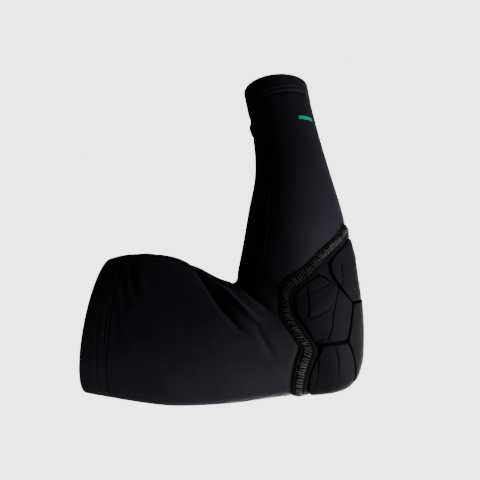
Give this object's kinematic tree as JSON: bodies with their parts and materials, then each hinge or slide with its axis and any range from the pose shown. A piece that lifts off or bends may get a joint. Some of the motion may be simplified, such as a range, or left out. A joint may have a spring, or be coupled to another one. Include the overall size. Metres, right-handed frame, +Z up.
{
  "type": "padded arm sleeve",
  "caption": "Knitted arm sleeve formed to a bent arm, open at the upper arm and wrist, with a sewn-in elbow panel of foam blocks, flat taped seams and turned hems.",
  "frame": {"origin": "middle of the elbow bend, where the upper arm's and the forearm's middle lines meet, inside the arm that holds the sleeve up", "axes": "+Z up the forearm towards the wrist, -X along the upper arm towards the shoulder, +Y across the arm; the plane Y = 0 is the plane of the bent arm"},
  "size_m": [0.2273, 0.1002, 0.2767],
  "materials": {
    "knit": "fine stretch knit with a soft sheen",
    "seam_tape": "flatlock stitched tape",
    "pad_panel": "matte fabric",
    "pad_foam": "matte closed-cell foam under a smooth fabric face"
  },
  "bodies": {
    "root": {"sleeve_shell": "knit", "upper_hem": "knit", "wrist_hem": "knit", "front_seam": "seam_tape", "pad_base": "pad_panel", "pad_seam": "seam_tape", "pad_block_upper": "pad_foam", "pad_block_centre": "pad_foam", "pad_block_lower": "pad_foam", "pad_block_side_near": "pad_foam", "pad_block_side_far": "pad_foam"}
  },
  "joints": []
}
